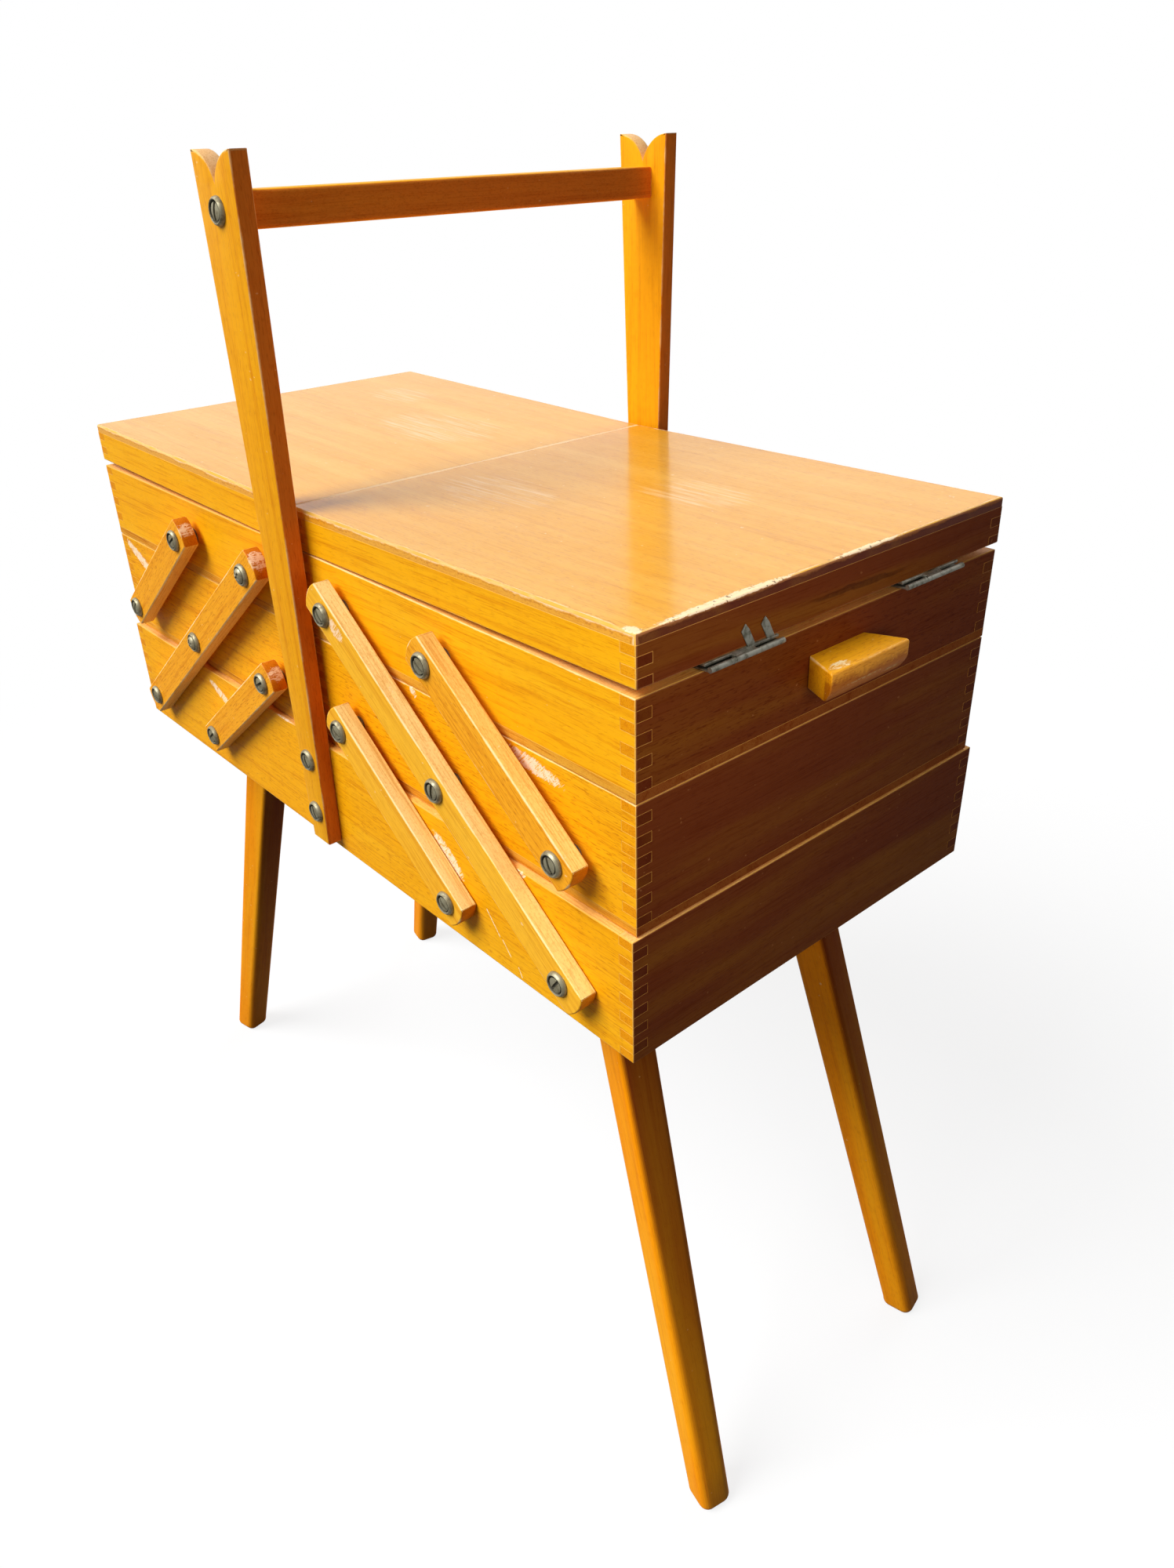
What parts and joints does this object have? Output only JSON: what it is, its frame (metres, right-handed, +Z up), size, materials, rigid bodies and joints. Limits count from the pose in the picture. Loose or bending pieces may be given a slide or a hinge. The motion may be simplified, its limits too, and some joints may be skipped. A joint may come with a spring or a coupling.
{
  "type": "cantilever sewing box",
  "caption": "Wooden cantilever sewing box on splayed legs: stacked trays swing out on parallel links, hinged lids, carrying bar on uprights.",
  "frame": {"origin": "on the floor, under the middle of the box", "axes": "+X along the length to the right-hand end, +Y to the back, +Z up"},
  "size_m": [0.509, 0.2406, 0.6036],
  "materials": {
    "board_beech": "honey-orange varnish on beech, satin",
    "end_beech": "honey-orange varnish on beech, satin",
    "lid_plywood": "paler orange varnish on beech plywood, gloss worn at the edges",
    "tray_plywood": "thin varnish on plywood",
    "link_beech": "honey-orange varnish on beech, worn edges",
    "stand_beech": "honey-orange varnish on beech, worn feet",
    "hidden_beech": "bare beech",
    "screw_metal": "dull nickel-plated brass",
    "hinge_steel": "dull grey sheet steel"
  },
  "bodies": {
    "stand": {"box_front_board": "board_beech", "box_back_board": "board_beech", "box_left_end": "end_beech", "box_right_end": "end_beech", "box_bottom": "tray_plywood", "leg_bearers": "hidden_beech", "front_left_leg": "stand_beech", "front_right_leg": "stand_beech", "rear_left_leg": "stand_beech", "rear_right_leg": "stand_beech", "front_upright": "stand_beech", "rear_upright": "stand_beech", "crossbar": "stand_beech", "upright_screws": "screw_metal", "bearer_screws": "screw_metal", "box_pivot_screws": "screw_metal"},
    "right_mid_tray": {"right_mid_front_board": "board_beech", "right_mid_back_board": "board_beech", "right_mid_inner_end": "end_beech", "right_mid_outer_end": "end_beech", "right_mid_bottom": "tray_plywood", "right_mid_pivot_screws": "screw_metal"},
    "right_top_tray": {"right_top_front_board": "board_beech", "right_top_back_board": "board_beech", "right_top_inner_end": "end_beech", "right_top_outer_end": "end_beech", "right_top_bottom": "tray_plywood", "right_top_pivot_screws": "screw_metal", "right_end_pull": "board_beech", "right_hinge_tray_leaves": "hinge_steel", "right_hinge_pins": "hinge_steel"},
    "right_lid": {"right_hinge_lid_leaves": "hinge_steel", "right_lid_side_rails": "board_beech", "right_lid_end_rails": "end_beech", "right_lid_panel": "lid_plywood"},
    "right_long_links": {"right_long_links": "link_beech"},
    "right_upper_links": {"right_upper_links": "link_beech"},
    "right_lower_links": {"right_lower_links": "link_beech"},
    "left_mid_tray": {"left_mid_front_board": "board_beech", "left_mid_back_board": "board_beech", "left_mid_inner_end": "end_beech", "left_mid_outer_end": "end_beech", "left_mid_bottom": "tray_plywood", "left_mid_pivot_screws": "screw_metal"},
    "left_top_tray": {"left_top_front_board": "board_beech", "left_top_back_board": "board_beech", "left_top_inner_end": "end_beech", "left_top_outer_end": "end_beech", "left_top_bottom": "tray_plywood", "left_top_pivot_screws": "screw_metal", "left_end_pull": "board_beech", "left_hinge_tray_leaves": "hinge_steel", "left_hinge_pins": "hinge_steel"},
    "left_lid": {"left_hinge_lid_leaves": "hinge_steel", "left_lid_side_rails": "board_beech", "left_lid_end_rails": "end_beech", "left_lid_panel": "lid_plywood"},
    "left_long_links": {"left_long_links": "link_beech"},
    "left_upper_links": {"left_upper_links": "link_beech"},
    "left_lower_links": {"left_lower_links": "link_beech"}
  },
  "joints": [
    {"name": "right_side_opens", "type": "hinge", "parent": "stand", "child": "right_long_links", "pos_m": [0.1865, 0, 0.316], "axis": [0, 1, 0], "range_deg": [0, 106.4]},
    {"name": "right_mid_tray_stays_level", "type": "hinge", "parent": "right_long_links", "child": "right_mid_tray", "pos_m": [0.1115, 0, 0.372], "axis": [0, 1, 0], "range_deg": [-106.4, 0]},
    {"name": "right_top_tray_stays_level", "type": "hinge", "parent": "right_long_links", "child": "right_top_tray", "pos_m": [0.0365, 0, 0.428], "axis": [0, 1, 0], "range_deg": [-106.4, 0]},
    {"name": "right_lower_links_swing", "type": "hinge", "parent": "stand", "child": "right_lower_links", "pos_m": [0.1115, 0, 0.316], "axis": [0, 1, 0], "range_deg": [0, 106.4]},
    {"name": "right_upper_links_swing", "type": "hinge", "parent": "right_mid_tray", "child": "right_upper_links", "pos_m": [0.1865, 0, 0.372], "axis": [0, 1, 0], "range_deg": [0, 106.4]},
    {"name": "right_lid_opens", "type": "hinge", "parent": "right_top_tray", "child": "right_lid", "pos_m": [0.223, 0, 0.4476], "axis": [0, 1, 0], "range_deg": [0, 130]},
    {"name": "left_side_opens", "type": "hinge", "parent": "stand", "child": "left_long_links", "pos_m": [-0.1865, 0, 0.316], "axis": [0, -1, 0], "range_deg": [0, 106.4]},
    {"name": "left_mid_tray_stays_level", "type": "hinge", "parent": "left_long_links", "child": "left_mid_tray", "pos_m": [-0.1115, 0, 0.372], "axis": [0, -1, 0], "range_deg": [-106.4, 0]},
    {"name": "left_top_tray_stays_level", "type": "hinge", "parent": "left_long_links", "child": "left_top_tray", "pos_m": [-0.0365, 0, 0.428], "axis": [0, -1, 0], "range_deg": [-106.4, 0]},
    {"name": "left_lower_links_swing", "type": "hinge", "parent": "stand", "child": "left_lower_links", "pos_m": [-0.1115, 0, 0.316], "axis": [0, -1, 0], "range_deg": [0, 106.4]},
    {"name": "left_upper_links_swing", "type": "hinge", "parent": "left_mid_tray", "child": "left_upper_links", "pos_m": [-0.1865, 0, 0.372], "axis": [0, -1, 0], "range_deg": [0, 106.4]},
    {"name": "left_lid_opens", "type": "hinge", "parent": "left_top_tray", "child": "left_lid", "pos_m": [-0.223, 0, 0.4476], "axis": [0, -1, 0], "range_deg": [0, 130]}
  ],
  "couplings": [
    {"joint": "right_mid_tray_stays_level", "follows": "right_side_opens", "ratio": -1},
    {"joint": "right_top_tray_stays_level", "follows": "right_side_opens", "ratio": -1},
    {"joint": "right_lower_links_swing", "follows": "right_side_opens", "ratio": 1},
    {"joint": "right_upper_links_swing", "follows": "right_side_opens", "ratio": 1},
    {"joint": "left_mid_tray_stays_level", "follows": "left_side_opens", "ratio": -1},
    {"joint": "left_top_tray_stays_level", "follows": "left_side_opens", "ratio": -1},
    {"joint": "left_lower_links_swing", "follows": "left_side_opens", "ratio": 1},
    {"joint": "left_upper_links_swing", "follows": "left_side_opens", "ratio": 1}
  ]
}
